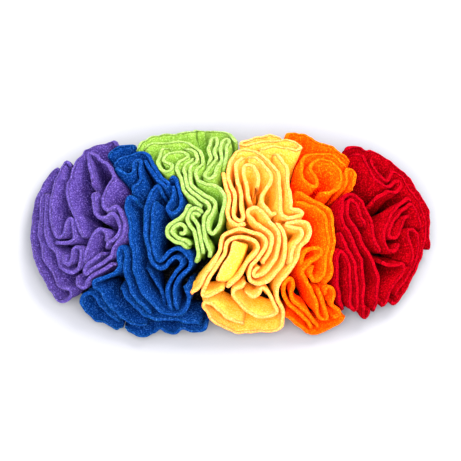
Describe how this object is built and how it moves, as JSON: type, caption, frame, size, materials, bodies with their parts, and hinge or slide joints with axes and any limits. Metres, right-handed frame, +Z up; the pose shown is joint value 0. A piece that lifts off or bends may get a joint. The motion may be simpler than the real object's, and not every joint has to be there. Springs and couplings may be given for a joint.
{
  "type": "snuffle mat",
  "caption": "Small oval snuffle mat: gathered fleece layers stand edge up on a backing in bright colours, and their folds form pockets for dry food.",
  "frame": {"origin": "middle of the flat underside of the backing, on the surface it lies on", "axes": "+X along the mat's length, the purple end at -X and the red end at +X; +Y towards the back; +Z up, out of the layers' cut edges"},
  "size_m": [0.3, 0.1636, 0.0581],
  "materials": {
    "fleece_purple": "matt fleece",
    "fleece_blue": "matt fleece",
    "fleece_green": "matt fleece",
    "fleece_yellow": "matt fleece",
    "fleece_orange": "matt fleece",
    "fleece_red": "matt fleece",
    "fleece_backing": "matt fleece"
  },
  "bodies": {
    "root": {"backing": "fleece_backing", "purple_layer_01": "fleece_purple", "purple_layer_02": "fleece_purple", "purple_layer_03": "fleece_purple", "purple_layer_04": "fleece_purple", "purple_layer_05": "fleece_purple", "purple_layer_06": "fleece_purple", "purple_layer_07": "fleece_purple", "purple_layer_08": "fleece_purple", "blue_layer_01": "fleece_blue", "blue_layer_02": "fleece_blue", "blue_layer_03": "fleece_blue", "blue_layer_04": "fleece_blue", "blue_layer_05": "fleece_blue", "blue_layer_06": "fleece_blue", "blue_layer_07": "fleece_blue", "blue_layer_08": "fleece_blue", "blue_layer_09": "fleece_blue", "blue_layer_10": "fleece_blue", "blue_layer_11": "fleece_blue", "blue_layer_12": "fleece_blue", "green_layer_01": "fleece_green", "green_layer_02": "fleece_green", "green_layer_03": "fleece_green", "green_layer_04": "fleece_green", "green_layer_05": "fleece_green", "green_layer_06": "fleece_green", "green_layer_07": "fleece_green", "green_layer_08": "fleece_green", "green_layer_09": "fleece_green", "yellow_layer_01": "fleece_yellow", "yellow_layer_02": "fleece_yellow", "yellow_layer_03": "fleece_yellow", "yellow_layer_04": "fleece_yellow", "yellow_layer_05": "fleece_yellow", "yellow_layer_06": "fleece_yellow", "yellow_layer_07": "fleece_yellow", "yellow_layer_08": "fleece_yellow", "yellow_layer_09": "fleece_yellow", "yellow_layer_10": "fleece_yellow", "yellow_layer_11": "fleece_yellow", "orange_layer_01": "fleece_orange", "orange_layer_02": "fleece_orange", "orange_layer_03": "fleece_orange", "orange_layer_04": "fleece_orange", "orange_layer_05": "fleece_orange", "orange_layer_06": "fleece_orange", "orange_layer_07": "fleece_orange", "orange_layer_08": "fleece_orange", "orange_layer_09": "fleece_orange", "red_layer_01": "fleece_red", "red_layer_02": "fleece_red", "red_layer_03": "fleece_red", "red_layer_04": "fleece_red", "red_layer_05": "fleece_red", "red_layer_06": "fleece_red", "red_layer_07": "fleece_red", "red_layer_08": "fleece_red", "red_layer_09": "fleece_red", "red_layer_10": "fleece_red"}
  },
  "joints": []
}
